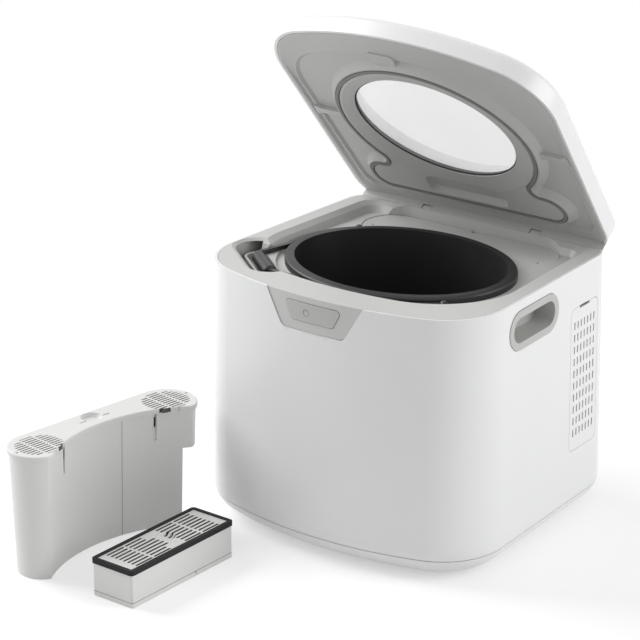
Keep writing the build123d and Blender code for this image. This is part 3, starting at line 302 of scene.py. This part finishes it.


# dark for the painted shade in slots and for joint lines
SHADE_AND_JOINT_DARK = (0.03, 0.03, 0.03)
SLOT_SHADE_SHARE, LINE_SHARE = 0.92, 0.75   # how far the painted shade in a slot and a joint line turn dark
LINE_GRAINS = 12.0                    # depth of a line in heights of the grain
FLOW_SHARE = 0.02                     # flow marks in the colour
# how deep under a grille's top the painted slot shade starts
SLOT_LIP, BOX_SLOT_LIP = 0.0004, 0.0003
TANK_LINE_HALF, BOX_LINE_HALF, CASE_LINE_HALF = 0.0003, 0.00035, 0.0004
TANK_PLACE, TANK_TURN = (-0.187, -0.252), 81.0
TANK_TOP, LOBE_X, GRILLE_RADIUS = 0.134, 0.083, 0.0230
TANK_WALL = -0.0180  # the hollow side's wall starts here
TANK_LINE_X, TANK_LINE_SIDE = 0.024, 0.02
BOX_PLACE, BOX_TURN = (-0.093, -0.275), 88.5
BOX_GRILLE_TOP, BOX_BASE_TOP = 0.0392, 0.0052
BOX_CUP, BOX_CUP_RADIUS = (0.008, 0.003), 0.0098
CASE_JOINT = 0.0242

WHITE = (0.87, 0.872, 0.875)
PALE_GREY, LINER_GREY = (0.62, 0.625, 0.605), (0.56, 0.565, 0.55)
FILTER_WHITE = (0.78, 0.78, 0.765)
FINISHES = {
    "white_shell": moulded("white_case", WHITE, 0.32, coat=0.15),
    "deck_grey": moulded("pale_grey_deck", PALE_GREY, 0.42),
    "apron_grey": moulded("apron_grey", (0.53, 0.535, 0.515), 0.40),
    "liner_grey": moulded("liner_grey", LINER_GREY, 0.45),
    "window_clear": clear_window("clear_window"),
    "soft_black": rubber("black_rubber"),
    "bucket_coat": non_stick("non_stick_coat"),
    "blade_steel": brushed("blade_steel", (0.62, 0.62, 0.60)),
    "bright_steel": brushed("bright_steel", (0.66, 0.66, 0.65), 0.22),
    "zinc_plate": brushed("zinc_plate", (0.55, 0.57, 0.58), 0.38, (1, 30, 1)),
    "heater_aluminium": brushed("cast_aluminium", (0.60, 0.60, 0.60), 0.45, (1, 1, 1)),
    "gear_nylon": moulded("nylon_gear", (0.70, 0.67, 0.56), 0.5),
    "motor_can": brushed("motor_can", (0.30, 0.31, 0.32), 0.4),
    "bearing_bronze": brushed("sintered_bronze", (0.50, 0.34, 0.15), 0.45, (1, 1, 1)),
    "board_green": moulded("board_laminate", (0.02, 0.12, 0.05), 0.4),
    "dark_plastic": moulded("dark_plastic", (0.018, 0.018, 0.019), 0.45),
    "handle_dark": moulded("grip_black", (0.010, 0.010, 0.010), 0.38),
    "well_grey": moulded("baked_well", (0.10, 0.10, 0.105), 0.5),
    "filter_white": moulded("filter_white", FILTER_WHITE, 0.45),
    "carbon_black": granules("carbon_granules"),
}
NODE_FINISHES = {
    "bail_handle": brushed("bail_wire", (0.09, 0.09, 0.09), 0.34),
    "lid_seal": moulded("lid_seal_grey", (0.24, 0.245, 0.24), 0.6),
    # painted shade: the dock's inside is dark grey so the vent slots read as shaded
    "filter_dock": moulded("dock_inside_painted_shade", (0.10, 0.10, 0.10), 0.6),
    # painted shade in the grille slots of the tank's lid
    "tank_lid": moulded("tank_lid_white_slot_shade", FILTER_WHITE, 0.45, hollow=tank_slot_shade),
    "tank_body": moulded("tank_body_white", FILTER_WHITE, 0.45, line=tank_line),
    # painted shade in the slots of the box's grille
    "box_grille": moulded("box_grille_white_slot_shade", FILTER_WHITE, 0.45, hollow=box_slot_shade),
    "box_body": moulded("box_body_white", FILTER_WHITE, 0.45, line=box_line),
    "outer_shell": moulded("white_case_joint", WHITE, 0.32, coat=0.15, line=shell_line),
}


def dress_nodes():
    for part in frame["record"]["subparts"]:
        node = nodes[part["node"]]
        node.data.materials.clear()
        plain = FINISHES[part["material_slot"]]
        node.data.materials.append(NODE_FINISHES.get(part["node"], plain))


# ---- pieces that the solids leave to the scene -------------------------------------------
def start(adder, **settings):
    """Add a primitive with nothing else selected."""
    bpy.ops.object.select_all(action="DESELECT")
    adder(**settings)
    return bpy.context.object


def select(piece, test, kind="polygons"):
    """Select the faces or points of a piece whose middle passes a test."""
    bpy.ops.object.mode_set(mode="EDIT")
    bpy.ops.mesh.select_mode(type={"polygons": "FACE", "vertices": "VERT"}[kind])
    bpy.ops.mesh.select_all(action="DESELECT")
    bpy.ops.object.mode_set(mode="OBJECT")
    mesh = piece.data
    for part in getattr(mesh, kind):
        points = [part.co] if kind == "vertices" else [mesh.vertices[i].co for i in part.vertices]
        part.select = test(sum(points, Vector()) / len(points))
    bpy.ops.object.mode_set(mode="EDIT")


def finished(piece, name, material, body):
    """Leave edit mode, settle the place into the mesh and give finish and body."""
    if bpy.context.object.mode == "EDIT":
        bpy.ops.object.mode_set(mode="OBJECT")
    bpy.ops.object.transform_apply(location=True, rotation=True, scale=True)
    bpy.ops.object.shade_smooth_by_angle(angle=SMOOTH_ANGLE)
    piece.name = piece.data.name = name
    piece.data.materials.clear()
    piece.data.materials.append(material)
    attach(piece, body)


def make_power_mark():
    """Ring with a gap and a short bar, a plain power sign on the button."""
    ring = start(bpy.ops.mesh.primitive_torus_add, location=MARK_PLACE, rotation=(pi / 2, 0, 0),
                 major_radius=MARK_RADIUS, minor_radius=MARK_LINE,
                 major_segments=48, minor_segments=10)
    select(ring, lambda p: p.y > 0 and abs(p.x) < MARK_GAP * MARK_RADIUS, "vertices")
    bpy.ops.mesh.delete(type="VERT")
    bpy.ops.mesh.select_all(action="SELECT")
    bpy.ops.mesh.select_non_manifold()
    bpy.ops.mesh.edge_face_add()
    bpy.ops.object.mode_set(mode="OBJECT")
    x, y, z = MARK_PLACE
    bar = start(bpy.ops.mesh.primitive_cylinder_add, vertices=12, radius=MARK_LINE,
                depth=MARK_RADIUS, location=(x, y, z + BAR_RISE * MARK_RADIUS))
    select(bar, lambda p: abs(p.z) > 0.49 * MARK_RADIUS)
    bpy.ops.mesh.bevel(offset=0.4 * MARK_LINE, segments=2)
    bpy.ops.object.mode_set(mode="OBJECT")
    ring.select_set(True)
    bpy.context.view_layer.objects.active = ring
    bpy.ops.object.join()
    grey = moulded("mark_grey", (0.13, 0.13, 0.13), 0.5)
    finished(ring, "power_mark", grey, "button")


def make_window_edge():
    """Thin black lip of the gasket that shows round the clear window from below."""
    low, high = PANE_LOW - LIP_DROP, PANE_LOW - LIP_GAP
    inner_a, inner_b = WINDOW_A - LIP_IN, WINDOW_B - LIP_IN
    grow = ((WINDOW_A + LIP_OUT) / inner_a, (WINDOW_B + LIP_OUT) / inner_b, 1.0)
    lip = start(bpy.ops.mesh.primitive_circle_add, vertices=128, radius=1.0, fill_type="NOTHING",
                location=(0, WINDOW_Y, low))
    lip.scale = (inner_a, inner_b, 1.0)
    bpy.ops.object.transform_apply(location=True, rotation=True, scale=True)
    bpy.ops.object.mode_set(mode="EDIT")
    bpy.ops.mesh.select_mode(type="VERT")
    bpy.ops.mesh.select_all(action="SELECT")
    bpy.ops.mesh.extrude_region_move()
    bpy.ops.transform.resize(value=grow, center_override=(0, WINDOW_Y, low))
    bpy.ops.mesh.select_all(action="SELECT")
    bpy.ops.mesh.extrude_region_move(TRANSFORM_OT_translate={"value": (0, 0, high - low)})
    bpy.ops.mesh.select_all(action="SELECT")
    bpy.ops.mesh.normals_make_consistent(inside=False)
    bpy.ops.object.mode_set(mode="OBJECT")
    turn_with_lid(lip)
    finished(lip, "window_edge", FINISHES["soft_black"], "lid")


def turn_with_lid(piece):
    """Turn a piece of the shut lid to the lid's resting angle about the hinge line."""
    swing = Matrix.Rotation(-radians(LID_OPEN), 4, "X")
    hinge = Matrix.Translation(HINGE)
    piece.matrix_world = hinge @ swing @ hinge.inverted() @ piece.matrix_world


MARK_PLACE, MARK_RADIUS, MARK_LINE = (-0.0066, -0.15332, 0.2618), 0.0034, 0.00045
MARK_GAP, BAR_RISE = 0.45, 0.75       # in radii of the ring
PANE_LOW, WINDOW_A, WINDOW_B, WINDOW_Y = 0.2814, 0.095, 0.075, -0.009
LIP_DROP, LIP_GAP, LIP_IN, LIP_OUT = 0.0012, 0.0001, 0.0012, 0.0004
SMOOTH_ANGLE = radians(35)
LID_OPEN, HINGE = 52.0, (0.0, 0.147, 0.274)


def make_floor():
    """Pale floor; the camera sees it white, with the shadow of the object on it."""
    bpy.ops.mesh.primitive_plane_add(size=FLOOR_SIZE, location=(0, 0, 0))
    floor = bpy.context.object
    floor.name = "floor"
    finish = Finish("pale_floor")
    cloud = finish.noise(0.5, 2.0)
    finish.set(Base_Color=finish.blend(cloud, (0.85, 0.85, 0.85), (0.87, 0.87, 0.87)),
               Roughness=0.9)
    finish.set(Specular_IOR_Level=0.0)
    paper = finish.node("ShaderNodeBsdfDiffuse", {}, {"Color": (FLOOR_SHADE,) * 3 + (1.0,)}, "BSDF")
    glow = finish.node("ShaderNodeEmission", {}, {"Strength": FLOOR_GLOW}, "Emission")
    lit = finish.node("ShaderNodeAddShader", {}, {0: paper, 1: glow}, "Shader")
    away = finish.node("ShaderNodeVectorMath", {"operation": "LENGTH"}, {0: finish.place}, "Value")
    far = finish.node("ShaderNodeMapRange", {"interpolation_type": "SMOOTHSTEP"},
                      {"Value": away, "From Min": FLOOR_NEAR, "From Max": FLOOR_FAR}, "Result")
    white = finish.node("ShaderNodeEmission", {}, {"Strength": 1.0}, "Emission")
    lit = finish.node("ShaderNodeMixShader", {}, {"Fac": far, 1: lit, 2: white}, "Shader")
    dull = Amount(finish, finish.shader.outputs[0])
    shown = finish.node("ShaderNodeMixShader", {}, {"Fac": finish.seen(), 1: dull, 2: lit}, "Shader")
    output = next(n for n in finish.tree.nodes if n.type == "OUTPUT_MATERIAL")
    finish.feed(output.inputs["Surface"], shown)
    floor.data.materials.append(finish.material)


def make_world():
    world = bpy.data.worlds.new("studio")
    bpy.context.scene.world = world
    world.use_nodes = True
    sky = Shading(world.node_tree)
    strength = ROOM_LIGHT + (1.0 - ROOM_LIGHT) * sky.seen()
    background = world.node_tree.nodes["Background"]
    sky.feed(background.inputs["Color"], (1.0, 1.0, 1.0, 1.0))
    sky.feed(background.inputs["Strength"], strength)


bpy.context.scene.view_settings.view_transform = "Standard"
make_camera()
make_studio()
make_world()
make_floor()
dress_nodes()
make_power_mark()
make_window_edge()
